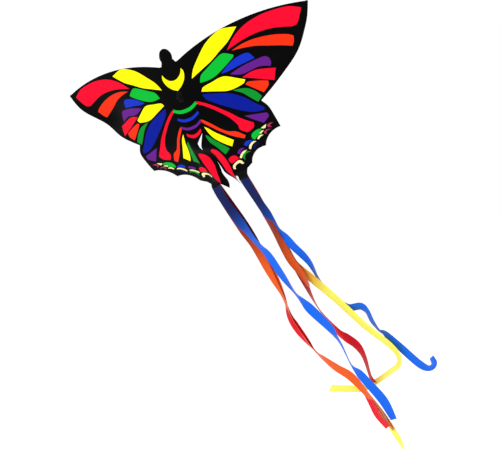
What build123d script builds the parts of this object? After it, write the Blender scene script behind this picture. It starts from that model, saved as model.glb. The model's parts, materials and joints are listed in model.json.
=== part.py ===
"""Butterfly delta kite with two ribbon tails.

Frame: +X is the butterfly's left-to-right span, +Y points behind the sail, +Z runs up the spine.
The origin is the centre of the tow eyelet. Outlines are given as (x, drop), where drop is
measured down from the neck, the notch between head and forewing. All sizes are in millimetres.
"""
from build123d import *
from math import exp, sqrt
import os

# Placement
NECK_Z = 160.0          # neck above the tow eyelet
SAIL_Y = 23.0           # middle of the cloth at the spine, behind the eyelet
SPINE_Y = 31.0          # spine axis, which is also the wings' flex axis

# Sail shape behind the flat body
WING_RAKE = 0.29        # backward slope that the wings tend to
BODY_FLAT = 120.0       # how slowly that slope starts beside the body
SWEEP_SLOPE = 0.64      # backward slope of the free cloth behind the battens
SWEEP_START = 350.0     # drop where the free cloth starts to sweep back
SWEEP_BODY = 80.0       # how much later it starts at the abdomen
SWEEP_BODY_WIDE = 60.0
SWEEP_BLEND = 35.0
BELLY = 60.0            # billow of the forewing's trailing edge
BELLY_X, BELLY_DROP = 500.0, 130.0
BELLY_WIDE, BELLY_HIGH = 160.0, 90.0
CLOTH = 1.0             # stand-in thickness of the cloth
LOBE_CURL = 1.1         # backward slope of the hindwing lobes' inner edges
LOBE_CURL_TOP, LOBE_CURL_FULL = 400.0, 475.0
LOBE_TIP_CURL = 1.3      # how much steeper they are at their tips
LOBE_CURL_X, LOBE_CURL_FOOT_X = 76.0, 56.0   # where the curl starts, high up and at the tail seam
LOBE_CURL_BLEND, LOBE_MIDDLE_BLEND = 12.0, 8.0
SEAM_X, SEAM_SLOPE = 54.0, 0.11
SEAM_GAP = 4.0          # room between body panel and wing panel for the wing's flex
CUT_DEEP = 600.0        # longer than the sail is deep

# Rods and their fittings
SPINE_R = 2.0
ROD_R = 1.75
ROD_FIT = 0.2           # clearance of a rod in a socket
CAP_EASE = 0.1
CAP_BORE = ROD_R + CAP_EASE
CAP_R, SPINE_CAP_R = 2.9, 3.2
CAP_GRIP = 8.0
CAP_LONG, SPINE_CAP_LONG = 11.0, 12.0
POCKET_R, POCKET_BORE = 4.0, 3.1
SPINE_POCKET_R, SPINE_POCKET_BORE = 4.3, 3.4
POCKET_BACK, POCKET_FRONT, SPINE_POCKET_FRONT = 12.0, 6.0, 8.0
SPINE_TOP, SPINE_END = -55.0, 345.0
UPPER_JOINER, LOWER_JOINER = 120.0, 290.0
KNUCKLE_R, KNUCKLE_BORE, KNUCKLE_H = 4.0, 2.06, 7.0
KNUCKLE_GAP = 0.25
SOCKET_R, SOCKET_END, SOCKET_START, SOCKET_FLOOR = 3.8, 38.0, 7.0, 16.0
EDGE_ROD_BACK, EDGE_ROD_INSET = 6.0, 6.0
SLEEVE_R, SLEEVE_BORE = 2.9, 2.1
WINDOW = 30.0           # half length of the sleeve's opening at the spreader fitting
SLEEVE_INSET = 14.0     # sleeve's end from the rod's end
SPINE_SLEEVE_R, SPINE_SLEEVE_BORE = 3.6, 2.3
SPINE_STRETCHES = ((0, 104), (138, 274), (306, 330))
FITTING_R, FITTING_GRIP, FITTING_REACH = 3.6, 12.0, 36.0
FITTING_SEAT = 11.0     # depth of the spreader's socket from the rod's middle
STOP_R = 2.8
STOPS = ((13, 17), (-28, -24))
CLIP_R, CLIP_HIGH, CLIP_EASE = 3.8, 5.0, 0.02
CLIP_OFFSETS = (8.0, -13.0)

# Tow point
EYELET_BORE, EYELET_BARREL, EYELET_FLANGE = 3.0, 4.0, 6.5
EYELET_HALF, TAB_HALF = 1.6, 0.8

# Tails
RIBBON_WIDE, RIBBON_THICK = 50.0, 1.0
TAIL_X, TAIL_SEAM = 78.0, 592.0   # the tails swing 8 below the seam
TAIL_Y = 182.0          # hinge axis of both tails, behind the eyelet
HEADER_TOP, HEADER_END, HEADER_HALF_Y = 606.0, 618.0, 3.2
HEADER_WIDE = 54.0
TAB_FROM_SEAM, TAB_HIGH, TAB_THICK = 0.6, 6.0, 1.2
TAB_TURN = 10.0


def lobe_curl(x, drop):
    """How far the hindwing lobes curl back towards the body."""
    ramp = min(max((drop - LOBE_CURL_TOP) / (LOBE_CURL_FULL - LOBE_CURL_TOP), 0), 1)
    foot = min(max((drop - 500) / (585 - 500), 0), 1)
    start = LOBE_CURL_X + (LOBE_CURL_FOOT_X - LOBE_CURL_X) * foot * foot * (3 - 2 * foot)
    inside = start - sqrt(x * x + LOBE_MIDDLE_BLEND**2)
    if inside <= 0:
        return 0.0
    soft = inside * inside / (2 * LOBE_CURL_BLEND) if inside < LOBE_CURL_BLEND else inside - LOBE_CURL_BLEND / 2
    tip = min(max((drop - 550) / (630 - 550), 0), 1)
    slope = LOBE_CURL * ramp * ramp * (3 - 2 * ramp) + LOBE_TIP_CURL * tip * tip * (3 - 2 * tip)
    return slope * soft


def sail_y(x, drop):
    """Middle surface of the sail behind the eyelet."""
    x = abs(x)
    rake = WING_RAKE * x * x / (x + BODY_FLAT)
    aft = drop - SWEEP_START - SWEEP_BODY * exp(-((x / SWEEP_BODY_WIDE) ** 2))
    sweep = SWEEP_SLOPE * (sqrt(aft * aft + SWEEP_BLEND**2) + aft) / 2
    belly = BELLY * exp(-(((x - BELLY_X) / BELLY_WIDE) ** 2) - ((drop - BELLY_DROP) / BELLY_HIGH) ** 2)
    return SAIL_Y + rake + sweep + belly + lobe_curl(x, drop)


def on_sail(x, drop, behind=0.0):
    return Vector(x, sail_y(x, drop) + behind, NECK_Z - drop)


def flat(x, drop):
    """A point of a front outline, on the XZ plane."""
    return (x, 0, NECK_Z - drop)


def cloth_slab(x_low, x_high, drop_low, drop_high, step):
    """A curved slab of cloth, larger than the panel cut from it."""
    across = int((x_high - x_low) / step) + 1
    down = int((drop_high - drop_low) / step) + 1
    grid = [
        [
            on_sail(
                x_low + (x_high - x_low) * i / across,
                drop_low + (drop_high - drop_low) * j / down,
                -CLOTH / 2,
            )
            for j in range(down + 1)
        ]
        for i in range(across + 1)
    ]
    surface = Face.make_surface_from_array_of_points(grid, tol=0.1)
    return extrude(surface, amount=CLOTH, dir=(0, 1, 0))


def panel(outline, slab):
    """Cuts a panel with this front outline out of a slab."""
    prism = extrude(Face(Wire(outline)), amount=CUT_DEEP, dir=(0, 1, 0))
    return prism & slab


def seam_x(drop):
    """Inner edge of a wing panel, beside the body panel."""
    return SEAM_X + SEAM_SLOPE * drop


def wing_outline():
    """Right wing: leading edge, forewing trailing edge, hindwing and its two scallops."""
    top, bottom = -2.0, 576.0
    root = flat(seam_x(top), top)
    tip, notch, hind_tip = flat(695, -43), flat(350, 303), flat(365, 443)
    middle_point, low_point = flat(255, 505), flat(150, 560)
    foot = flat(seam_x(bottom), bottom)
    return [
        Edge.make_three_point_arc(root, flat(350, -72), tip),
        Edge.make_spline([tip, flat(652, 45), flat(550, 155), flat(450, 240), notch]),
        Edge.make_spline([notch, flat(370, 340), flat(370, 395), hind_tip]),
        Edge.make_three_point_arc(hind_tip, flat(298, 462), middle_point),
        Edge.make_three_point_arc(middle_point, flat(193, 516), low_point),
        Edge.make_line(low_point, foot),
        Edge.make_line(foot, root),
    ]


def body_outline(with_slit):
    """Half of the body panel: head, body, inner hindwing lobe and abdomen tip.

    The slit beside the abdomen tip is open on the right only. The lobes join below it.
    """
    notch = flat(41, 0)
    neck = flat(seam_x(-1) - SEAM_GAP, -1)
    foot = flat(seam_x(577) - SEAM_GAP, 577)
    seam_out, seam_in = flat(104, TAIL_SEAM), flat(52, TAIL_SEAM)
    lobe_tip, lobe_join = flat(32, 640), flat(0, 490)
    slit_end, slit, tip = flat(0, 425), flat(40, 350), flat(0, 388)
    middle = [Edge.make_line(lobe_join, flat(0, -76))]
    if with_slit:
        middle = [
            Edge.make_line(lobe_join, slit_end),
            Edge.make_line(slit_end, slit),
            Edge.make_line(slit, tip),
            Edge.make_line(tip, flat(0, -76)),
        ]
    return [
        Edge.make_spline([flat(0, -76), flat(21, -67), flat(34, -41), flat(31, -18)]),
        Edge.make_line(flat(31, -18), notch),
        Edge.make_line(notch, neck),
        Edge.make_line(neck, foot),
        Edge.make_line(foot, seam_out),
        Edge.make_line(seam_out, seam_in),
        Edge.make_line(seam_in, lobe_tip),
        Edge.make_three_point_arc(lobe_tip, flat(7, 560), lobe_join),
        *middle,
    ]


def rod(start, end, radius):
    length = (end - start).length
    return Plane(origin=start, z_dir=end - start) * extrude(Circle(radius), amount=length)


def tube(start, end, outer, bore):
    return rod(start, end, outer) - rod(start, end, bore)


def end_cap(rod_end, outward, outer, bore, grip, length):
    """A vinyl cap that grips a rod's end."""
    outward = outward.normalized()
    start = rod_end - outward * grip
    return rod(start, start + outward * length, outer) - rod(start, rod_end, bore)


def pocket(rod_end, outward, outer, bore, back, front):
    """A sewn cup of cloth around a rod's cap."""
    outward = outward.normalized()
    mouth = rod_end - outward * back
    floor = rod_end + outward * front
    return rod(mouth, floor, outer) - rod(mouth, floor - outward, bore)


def rod_cap(rod_end, outward):
    return end_cap(rod_end, outward, CAP_R, CAP_BORE, CAP_GRIP, CAP_LONG)


def rod_pocket(rod_end, outward):
    return pocket(rod_end, outward, POCKET_R, POCKET_BORE, POCKET_BACK, POCKET_FRONT)


def sub_arc(arc, start, end):
    return Edge.make_three_point_arc(arc @ start, arc @ ((start + end) / 2), arc @ end)


def along(arc, radius):
    return sweep(Plane(origin=arc @ 0, z_dir=arc % 0) * Circle(radius), path=arc)


def joiner_arm(hub, reach, ring_side):
    """A soft socket arm whose ring turns on the spine. ring_side is +1 for the upper ring."""
    low = KNUCKLE_GAP if ring_side > 0 else -KNUCKLE_GAP - KNUCKLE_H
    ring_foot = hub + Vector(0, 0, low)
    ring_head = ring_foot + Vector(0, 0, KNUCKLE_H)
    side = 1 if reach.X > 0 else -1
    ring = rod(ring_foot, ring_head, KNUCKLE_R)
    neck_low = low if ring_side < 0 else low - 4
    neck_high = neck_low + KNUCKLE_H + 4
    middle_z = (neck_low + neck_high) / 2
    bridge = Pos(hub.X + side * 7.2, hub.Y, hub.Z + middle_z) * Box(4.4, 5, neck_high - neck_low)
    lug = Pos(hub.X + side * 5.0, hub.Y, hub.Z + low + KNUCKLE_H / 2) * Box(5, 5, KNUCKLE_H)
    arm = rod(hub + reach * SOCKET_START, hub + reach * SOCKET_END, SOCKET_R)
    bore = rod(hub + reach * SOCKET_FLOOR, hub + reach * (SOCKET_END + 1), ROD_R + ROD_FIT)
    return ring + lug + bridge + arm - rod(ring_foot, ring_head, KNUCKLE_BORE) - bore


def edge_fitting(centre, tangent, inward):
    """The vinyl fitting that holds the spreader on the leading-edge rod."""
    clear = ROD_R + ROD_FIT
    grip = rod(centre - tangent * FITTING_GRIP, centre + tangent * FITTING_GRIP, FITTING_R)
    socket = rod(centre, centre + inward * FITTING_REACH, FITTING_R)
    rod_way = rod(centre - tangent * (FITTING_GRIP + 8), centre + tangent * (FITTING_GRIP + 1), clear)
    spreader_way = rod(centre + inward * FITTING_SEAT, centre + inward * (FITTING_REACH + 1), clear)
    return grip + socket - rod_way - spreader_way


def mirrored(shape):
    return mirror(shape, about=Plane.YZ)


def save(name, *solids):
    """Writes one node. Several solids make one group."""
    body = solids[0] if len(solids) == 1 else Compound(children=list(solids))
    export_step(body, f"parts/{name}.step")


def build_root():
    """Body panel, spine and everything fixed to them."""
    slab = cloth_slab(-125, 125, -85, 655, 13)
    right, left = (
        extrude(Face(Wire(body_outline(with_slit))), amount=CUT_DEEP, dir=(0, 1, 0))
        for with_slit in (True, False)
    )
    save("body_panel", (right + mirrored(left)) & slab)

    top = Vector(0, SPINE_Y, NECK_Z - SPINE_TOP)
    end = Vector(0, SPINE_Y, NECK_Z - SPINE_END)
    up, down = Vector(0, 0, 1), Vector(0, 0, -1)
    save("spine_rod", rod(end, top, SPINE_R))
    for cap, cup, tip, way in (
        ("nose_cap", "head_pocket", top, up),
        ("spine_end_cap", "abdomen_pocket", end, down),
    ):
        save(cap, end_cap(tip, way, SPINE_CAP_R, SPINE_R + CAP_EASE, CAP_GRIP, SPINE_CAP_LONG))
        save(cup, pocket(tip, way, SPINE_POCKET_R, SPINE_POCKET_BORE, POCKET_BACK, SPINE_POCKET_FRONT))

    sleeve = []
    for high, low in SPINE_STRETCHES:
        head = Vector(0, SPINE_Y, NECK_Z - high)
        foot = Vector(0, SPINE_Y, NECK_Z - low)
        sleeve.append(tube(head, foot, SPINE_SLEEVE_R, SPINE_SLEEVE_BORE))
    save("spine_sleeve", *sleeve)

    clips = []
    for joiner in (UPPER_JOINER, LOWER_JOINER):
        for offset in CLIP_OFFSETS:
            foot = Vector(0, SPINE_Y, NECK_Z - joiner + offset)
            clips.append(tube(foot, foot + Vector(0, 0, CLIP_HIGH), CLIP_R, SPINE_R + CLIP_EASE))
    save("spine_clips", *clips)

    patch_back = SAIL_Y - 0.2
    save("tow_patch", Pos(0, patch_back - 0.4, 0) * Box(28, 0.8, 50))
    tab_back = patch_back - 0.8
    tab = Pos(0, tab_back / 2, 0) * Box(2 * TAB_HALF, tab_back, 26)
    tab = tab + Plane.YZ * Pos(0, 0, -TAB_HALF) * extrude(Circle(13), amount=2 * TAB_HALF)
    tab = tab - Plane.YZ * Pos(0, 0, -2) * extrude(Circle(EYELET_BARREL), amount=4)
    tab = tab & Pos(0, -20 + tab_back - 20, 0) * Box(40, 80, 60)
    save("tow_tab", tab)

    def disc(radius, low, high):
        return Plane.YZ * Pos(0, 0, low) * extrude(Circle(radius), amount=high - low)

    flanges = disc(EYELET_FLANGE, TAB_HALF, EYELET_HALF) + disc(EYELET_FLANGE, -EYELET_HALF, -TAB_HALF)
    barrel = disc(EYELET_BARREL, -EYELET_HALF, EYELET_HALF)
    save("tow_eyelet", flanges + barrel - disc(EYELET_BORE, -EYELET_HALF, EYELET_HALF))


def build_wing():
    """Right wing and its mirror image."""
    sides = {}
    sides["wing_sail"] = panel(wing_outline(), cloth_slab(40, 720, -110, 620, 24))

    inset = EDGE_ROD_INSET
    arc = Edge.make_three_point_arc(
        on_sail(72, -5 + inset, EDGE_ROD_BACK),
        on_sail(350, -72 + inset, EDGE_ROD_BACK),
        on_sail(684, -45 + inset, EDGE_ROD_BACK),
    )
    length = arc.length
    sides["leading_edge_rod"] = along(arc, ROD_R)
    window = WINDOW / length
    end_share = SLEEVE_INSET / length
    inner = sub_arc(arc, end_share, 0.5 - window)
    outer = sub_arc(arc, 0.5 + window, 1 - end_share)
    sides["leading_edge_sleeve"] = [along(a, SLEEVE_R) - along(a, SLEEVE_BORE) for a in (inner, outer)]
    sides["rod_root_cap"] = rod_cap(arc @ 0, -(arc % 0))
    sides["rod_tip_cap"] = rod_cap(arc @ 1, arc % 1)
    sides["wing_tip_pocket"] = rod_pocket(arc @ 1, arc % 1)

    centre, tangent = arc @ 0.5, (arc % 0.5).normalized()
    hub = Vector(0, SPINE_Y, NECK_Z - UPPER_JOINER)
    reach = (centre - hub).normalized()
    sides["spreader_arm"] = [hub, reach]
    sides["spreader_rod"] = rod(hub + reach * (SOCKET_FLOOR + 1), centre - reach * (FITTING_SEAT + 1), ROD_R)
    sides["spreader_fitting"] = edge_fitting(centre, tangent, -reach)
    sides["fitting_stops"] = [
        tube(arc @ (0.5 + a / length), arc @ (0.5 + b / length), STOP_R, CAP_BORE)
        for a, b in STOPS
    ]

    hub = Vector(0, SPINE_Y, NECK_Z - LOWER_JOINER)
    batten_end = on_sail(352, 434, EDGE_ROD_BACK + 1)
    reach = (batten_end - hub).normalized()
    sides["batten_arm"] = [hub, reach]
    sides["hindwing_batten"] = rod(hub + reach * (SOCKET_FLOOR + 1), batten_end, ROD_R)
    sides["batten_tip_cap"] = rod_cap(batten_end, reach)
    sides["hindwing_pocket"] = rod_pocket(batten_end, reach)

    tab_z = NECK_Z - TAIL_SEAM - TAB_FROM_SEAM - TAB_HIGH / 2
    tab = Rot(0, 0, TAB_TURN) * Box(RIBBON_WIDE, TAB_THICK, TAB_HIGH)
    sides["tail_tab"] = Pos(TAIL_X, TAIL_Y, tab_z) * tab

    for name, made in sides.items():
        if name.endswith("_arm"):
            hub, reach = made
            save(f"right_{name}", joiner_arm(hub, reach, -1))
            save(f"left_{name}", joiner_arm(hub, Vector(-reach.X, reach.Y, reach.Z), 1))
            continue
        solids = made if isinstance(made, list) else [made]
        save(f"right_{name}", *solids)
        save(f"left_{name}", *[mirrored(s) for s in solids])


# Each ribbon: its middle line below the header as (x, drop), and its depth as (y, drop).
RIBBONS = {
    "left_ribbon_blue": (
        [(-62, 670), (-12, 800), (27, 900), (75, 1000), (103, 1100), (137, 1200), (188, 1300),
         (245, 1400), (275, 1500), (287, 1600), (335, 1700), (380, 1800), (398, 1905)],
        [(180.0, HEADER_END), (163, 720), (154, 850), (154, 2100)],
    ),
    "left_ribbon_orange": (
        [(-58, 700), (-17, 850), (13, 920), (38, 1050), (63, 1200), (62, 1310), (95, 1430),
         (122, 1500), (198, 1600), (255, 1660), (298, 1750), (343, 1850), (371, 1960)],
        [(181.4, HEADER_END), (175, 720), (172, 850), (172, 2100)],
    ),
    "left_ribbon_red": (
        [(-45, 700), (5, 850), (30, 980), (58, 1200), (53, 1300), (78, 1400), (116, 1495),
         (220, 1640), (300, 1780), (312, 1870), (342, 1940)],
        [(182.8, HEADER_END), (181, 720), (180, 850), (180, 2100)],
    ),
    "left_ribbon_yellow": (
        [(-50, 720), (25, 960), (58, 1230), (60, 1330), (130, 1520), (250, 1680), (320, 1820),
         (360, 1940), (372, 2000), (376, 2058)],
        [(184.2, HEADER_END), (186, 720), (187, 850), (187, 2100)],
    ),
    "right_ribbon_blue": (
        [(92, 700), (120, 800), (148, 900), (194, 1000), (214, 1050), (233, 1100), (252, 1170),
         (290, 1260), (345, 1335), (400, 1355), (430, 1400), (435, 1450), (458, 1500), (520, 1590),
         (580, 1690), (650, 1706)],
        [(180.0, HEADER_END), (193, 720), (197, 900), (197, 1005), (221, 1075), (221, 2000)],
    ),
    "right_ribbon_orange": (
        [(95, 720), (118, 880), (138, 1000), (150, 1060), (176, 1130), (190, 1200)],
        [(181.4, HEADER_END), (201, 720), (207, 900), (207, 2000)],
    ),
    "right_ribbon_yellow": (
        [(97, 740), (130, 950), (140, 1010), (152, 1060), (176, 1110), (226, 1180), (306, 1300),
         (396, 1450), (476, 1560), (505, 1620), (490, 1665), (430, 1692), (330, 1725), (250, 1732),
         (105, 1697)],
        [(182.8, HEADER_END), (207, 720), (213, 900), (213, 2000)],
    ),
    "right_ribbon_red": (
        [(90, 740), (125, 980), (166, 1180), (191, 1310), (245, 1440), (316, 1530), (331, 1590),
         (327, 1680), (332, 1730)],
        [(184.2, HEADER_END), (213, 720), (229, 900), (229, 1150), (219, 1300), (219, 2000)],
    ),
}


def ribbon(start_x, route, depth):
    """A strip of ribbon: its front outline met with its side profile."""
    line = Wire.make_polygon([(start_x, HEADER_END), *route], close=False)
    outline = offset(line, RIBBON_WIDE / 2, kind=Kind.ARC, side=Side.BOTH)
    front = make_face(outline)
    front = Plane(origin=(0, 0, NECK_Z), x_dir=(1, 0, 0), z_dir=(0, 1, 0)) * front
    prism = extrude(front, amount=300, dir=(0, 1, 0))
    half = RIBBON_THICK / 2
    near = [(y - half, NECK_Z - drop) for y, drop in depth]
    far = [(y + half, NECK_Z - drop) for y, drop in reversed(depth)]
    band = Plane.YZ * make_face(Wire.make_polygon(near + far, close=True))
    band = extrude(Pos(-200, 0, 0) * band, amount=1000, dir=(1, 0, 0))
    return prism & band


def build_tails():
    middle = (HEADER_TOP + HEADER_END) / 2
    for side, x in (("left", -TAIL_X), ("right", TAIL_X)):
        header = Box(HEADER_WIDE, 2 * HEADER_HALF_Y, HEADER_END - HEADER_TOP)
        save(f"{side}_tail_header", Pos(x, TAIL_Y, NECK_Z - middle) * header)
    for name, (route, depth) in RIBBONS.items():
        start_x = -TAIL_X if name.startswith("left") else TAIL_X
        save(name, ribbon(start_x, route, depth))


os.makedirs("parts", exist_ok=True)
build_root()
build_wing()
build_tails()
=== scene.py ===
"""Looks of the butterfly kite: printed sail, sewn channels and pockets, tail ribbons, rods.

Lengths in this file are millimetres, in the part's own frame, and are turned into metres where a
mesh is made. Flat places on the sail are (x, drop), with drop measured down from the neck.
"""

import json
from math import asin, atan2, cos, exp, pi, radians, sin, sqrt

import bmesh
import bpy
from mathutils import Matrix, Vector
from mathutils.geometry import delaunay_2d_cdt, intersect_line_line
from mathutils.kdtree import KDTree


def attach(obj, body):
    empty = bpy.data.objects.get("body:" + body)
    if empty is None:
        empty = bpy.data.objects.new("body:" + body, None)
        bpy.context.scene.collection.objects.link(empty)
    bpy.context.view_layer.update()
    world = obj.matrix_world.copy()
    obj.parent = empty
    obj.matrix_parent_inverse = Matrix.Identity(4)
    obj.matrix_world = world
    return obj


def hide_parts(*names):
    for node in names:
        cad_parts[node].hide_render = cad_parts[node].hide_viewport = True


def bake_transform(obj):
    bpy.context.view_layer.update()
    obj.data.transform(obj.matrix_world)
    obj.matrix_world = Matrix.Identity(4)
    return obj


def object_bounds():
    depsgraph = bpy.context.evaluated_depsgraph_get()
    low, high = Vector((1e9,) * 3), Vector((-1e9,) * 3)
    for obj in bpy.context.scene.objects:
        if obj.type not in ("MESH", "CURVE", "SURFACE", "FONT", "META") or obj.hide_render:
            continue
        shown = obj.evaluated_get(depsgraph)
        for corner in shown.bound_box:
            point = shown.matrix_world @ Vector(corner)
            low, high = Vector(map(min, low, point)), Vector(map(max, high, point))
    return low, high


bl_info = {
    "name": "Butterfly kite",
    "version": (1, 0, 0),
    "blender": (4, 5, 0),
    "location": "View3D > Sidebar > Kite",
    "description": "Builds the cloth, ribbons, seams and finishes of a butterfly kite",
    "category": "Add Mesh",
}

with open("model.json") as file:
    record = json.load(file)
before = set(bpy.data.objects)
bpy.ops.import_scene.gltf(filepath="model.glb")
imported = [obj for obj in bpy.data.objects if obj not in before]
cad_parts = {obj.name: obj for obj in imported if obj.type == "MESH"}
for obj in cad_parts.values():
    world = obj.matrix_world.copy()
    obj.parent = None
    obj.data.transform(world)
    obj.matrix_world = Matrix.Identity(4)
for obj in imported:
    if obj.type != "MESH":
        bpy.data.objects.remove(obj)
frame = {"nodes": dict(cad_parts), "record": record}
CAD_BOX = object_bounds()
MM = 0.001

# Placement and sail shape, the same as the part's
NECK_Z = 160.0
SAIL_Y = 23.0
SPINE_Y = 31.0
WING_RAKE, BODY_FLAT = 0.29, 120.0
SWEEP_SLOPE, SWEEP_START, SWEEP_BODY, SWEEP_BLEND = 0.64, 350.0, 80.0, 35.0
SWEEP_BODY_WIDE = 60.0
BELLY, BELLY_X, BELLY_DROP, BELLY_WIDE, BELLY_HIGH = 60.0, 500.0, 130.0, 160.0, 90.0
LOBE_CURL, LOBE_CURL_TOP, LOBE_CURL_FULL = 1.1, 400.0, 475.0
LOBE_TIP_CURL, LOBE_CURL_X, LOBE_CURL_FOOT_X = 1.3, 76.0, 56.0
LOBE_CURL_BLEND, LOBE_MIDDLE_BLEND = 12.0, 8.0
LOBE_FOOT_TOP, LOBE_FOOT_FULL = 500.0, 585.0
LOBE_TIP_TOP, LOBE_TIP_FULL = 550.0, 630.0
EDGE_ROD_BACK = 6.0
UPPER_HUB_DROP, LOWER_HUB_DROP = 120.0, 290.0
BATTEN_END = (352.0, 434.0)
TAIL_X, TAIL_Y = 78.0, 182.0
TAIL_SEAM, TAIL_HINGE = 592.0, 600.0
TAPE_HALF = 26.0
SIDES = {"left": -1, "right": 1}

BLACK, YELLOW, RED, ORANGE, GREEN, LEAF, BLUE, DEEP, NAVY, PURPLE, CREAM, PINK = range(12)
PRINT_NAMES = (
    "black", "yellow", "red", "orange", "green", "leaf_green", "blue", "deep_blue", "navy", "purple", "cream",
    "pink",
)
PRINT_COLOURS = (
    (3, 3, 4), (250, 244, 8), (240, 8, 44), (246, 48, 18), (10, 178, 50), (12, 138, 42),
    (18, 48, 186), (8, 26, 142), (10, 10, 70), (96, 28, 132), (236, 228, 160), (168, 44, 88),
)

# Printed cells of one wing and of half the body, as (ink, outline)
WING_CELLS = {
    "big_yellow": (YELLOW, [
        (86, 100), (107, 62), (145, 22), (200, -27), (260, -57), (300, -63), (359, -49),
        (300, 0), (250, 27), (200, 55), (150, 75)]),
    "big_red": (RED, [
        (282, 36), (325, -5), (375, -35), (425, -52), (500, -61), (600, -52), (656, -25),
        (640, 0), (615, 32), (590, 39), (550, 27), (500, 14), (450, 9), (400, 11), (350, 19)]),
    "upper_orange": (ORANGE, [
        (300, 45), (350, 33), (400, 30), (450, 35), (500, 46), (550, 65), (569, 79), (555, 105),
        (540, 120), (500, 102), (450, 82), (400, 62), (350, 51)]),
    "upper_green": (GREEN, [
        (116, 131), (132, 100), (175, 77), (225, 52), (260, 42), (300, 65), (295, 74),
        (250, 100), (200, 124), (160, 133)]),
    "upper_blue": (BLUE, [
        (220, 126), (260, 100), (300, 83), (340, 76), (362, 82), (374, 112), (300, 120), (250, 127)]),
    "upper_purple": (PURPLE, [
        (256, 142), (300, 130), (350, 122), (410, 119), (425, 130), (430, 155), (425, 171),
        (380, 155), (305, 161)]),
    "middle_red": (RED, [
        (302, 175), (340, 165), (375, 166), (446, 187), (432, 237), (375, 210)]),
    "middle_orange": (ORANGE, [
        (306, 210), (318, 202), (370, 216), (405, 230), (400, 250), (372, 272), (345, 247)]),
    "middle_green": (LEAF, [
        (243, 215), (280, 220), (310, 230), (340, 255), (359, 285), (335, 304), (310, 275), (280, 240)]),
    "lower_yellow": (YELLOW, [
        (108, 171), (120, 155), (165, 147), (225, 141), (280, 170), (311, 188), (300, 202),
        (250, 210), (215, 207), (150, 185)]),
    "long_blue": (DEEP, [
        (106, 184), (150, 195), (225, 222), (280, 260), (320, 305), (350, 335), (348, 347),
        (300, 341), (250, 315), (200, 280), (150, 242), (115, 210)]),
    "hind_purple": (PURPLE, [(252, 342), (300, 352), (348, 362), (348, 380), (310, 402), (280, 372)]),
    "long_red": (RED, [
        (69, 203), (110, 229), (150, 262), (200, 310), (230, 345), (272, 385), (260, 405),
        (222, 418), (200, 395), (204, 370), (190, 333), (165, 300), (125, 260), (92, 233), (67, 216)]),
    "thin_orange": (ORANGE, [
        (57, 289), (70, 297), (100, 328), (130, 366), (150, 384), (180, 397), (205, 428), (192, 440),
        (150, 408), (120, 375), (90, 338), (59, 303)]),
    "yellow_bar": (YELLOW, [
        (60, 325), (75, 340), (100, 375), (145, 430), (120, 455), (100, 433), (76, 390)]),
    "green_bar": (LEAF, [
        (50, 364), (58, 368), (68, 388), (84, 420), (104, 460), (74, 480), (62, 432), (52, 398)]),
    "tail_root_red": (RED, [
        (68, 512), (79, 501), (97, 498), (107, 504), (111, 520), (88, 526), (70, 531)]),
    "tail_root_cream": (CREAM, [
        (62, 559), (68, 543), (86, 532), (106, 527), (116, 535), (117, 550), (107, 549), (102, 540),
        (88, 542), (75, 549), (69, 563)]),
    "edge_purple": (PURPLE, [(120, 494), (136, 481), (153, 477), (162, 483), (147, 488), (127, 502)]),
    "edge_cream": (CREAM, [
        (116, 518), (131, 504), (150, 494), (168, 494), (152, 502), (135, 512), (122, 524)]),
    "edge_green": (LEAF, [
        (129, 524), (132, 514), (145, 505), (163, 500), (177, 508), (163, 507), (150, 512), (139, 522),
        (132, 537)]),
    "edge_blue": (BLUE, [(170, 467), (183, 457), (203, 455), (222, 460), (202, 466), (188, 473), (177, 478)]),
    "edge_cream_second": (CREAM, [
        (178, 493), (187, 480), (203, 470), (219, 466), (230, 471), (213, 475), (198, 484), (184, 498)]),
    "edge_navy": (NAVY, [(196, 494), (209, 483), (228, 479), (239, 482), (214, 492), (200, 504)]),
    "hind_green": (GREEN, [
        (224, 442), (232, 432), (254, 423), (273, 421), (288, 425), (270, 433), (261, 446), (243, 453),
        (229, 462), (222, 453)]),
    "hind_cream_small": (CREAM, [(264, 440), (279, 433), (289, 435), (277, 441), (267, 446)]),
    "hind_cream_arc": (CREAM, [(239, 463), (250, 453), (264, 449), (275, 454), (259, 458), (245, 466)]),
    "hind_cream_tip": (CREAM, [(284, 420), (315, 411), (304, 425), (294, 427)]),
    "hind_pink": (PINK, [(348, 414), (329, 412), (315, 419), (315, 428), (332, 433), (325, 426), (329, 420)]),
    "hind_pink_second": (PINK, [
        (322, 440), (302, 436), (284, 443), (283, 451), (290, 455), (292, 447), (304, 441)]),
}
BODY_CELLS = {
    "crescent": (YELLOW, [
        (0, 79), (17, 76), (34, 66), (46, 52), (53, 36), (60, 50), (59, 68), (48, 92), (26, 114), (0, 129)]),
    "stripe_green": (GREEN, [
        (0, 219), (20, 218), (42, 212), (63, 201), (67, 215), (44, 228), (20, 235), (0, 236)]),
    "stripe_blue": (BLUE, [
        (0, 264), (18, 263), (38, 257), (58, 246), (61, 258), (40, 270), (18, 277), (0, 278)]),
    "stripe_purple": (PURPLE, [
        (0, 305), (17, 304), (34, 299), (55, 287), (56, 300), (36, 311), (17, 317), (0, 318)]),
    "stripe_red": (RED, [(0, 343), (16, 341), (40, 328), (39, 341), (18, 355), (0, 360)]),
    "lobe_red": (RED, [
        (20, 446), (38, 434), (50, 446), (57, 478), (58, 512), (55, 552), (45, 604), (32, 575),
        (22, 530), (17, 485)]),
}
SHARP_TURN = radians(62)


def srgb(red, green, blue):
    """Linear colour of an everyday 0 to 255 colour."""
    def linear(value):
        value /= 255
        return value / 12.92 if value <= 0.04045 else ((value + 0.055) / 1.055) ** 2.4
    return (linear(red), linear(green), linear(blue))


# ---------------------------------------------------------------- shape of the sail

def path_length(points):
    """Length of the line through a list of points."""
    return sum((points[i] - points[i - 1]).length for i in range(1, len(points)))


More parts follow.
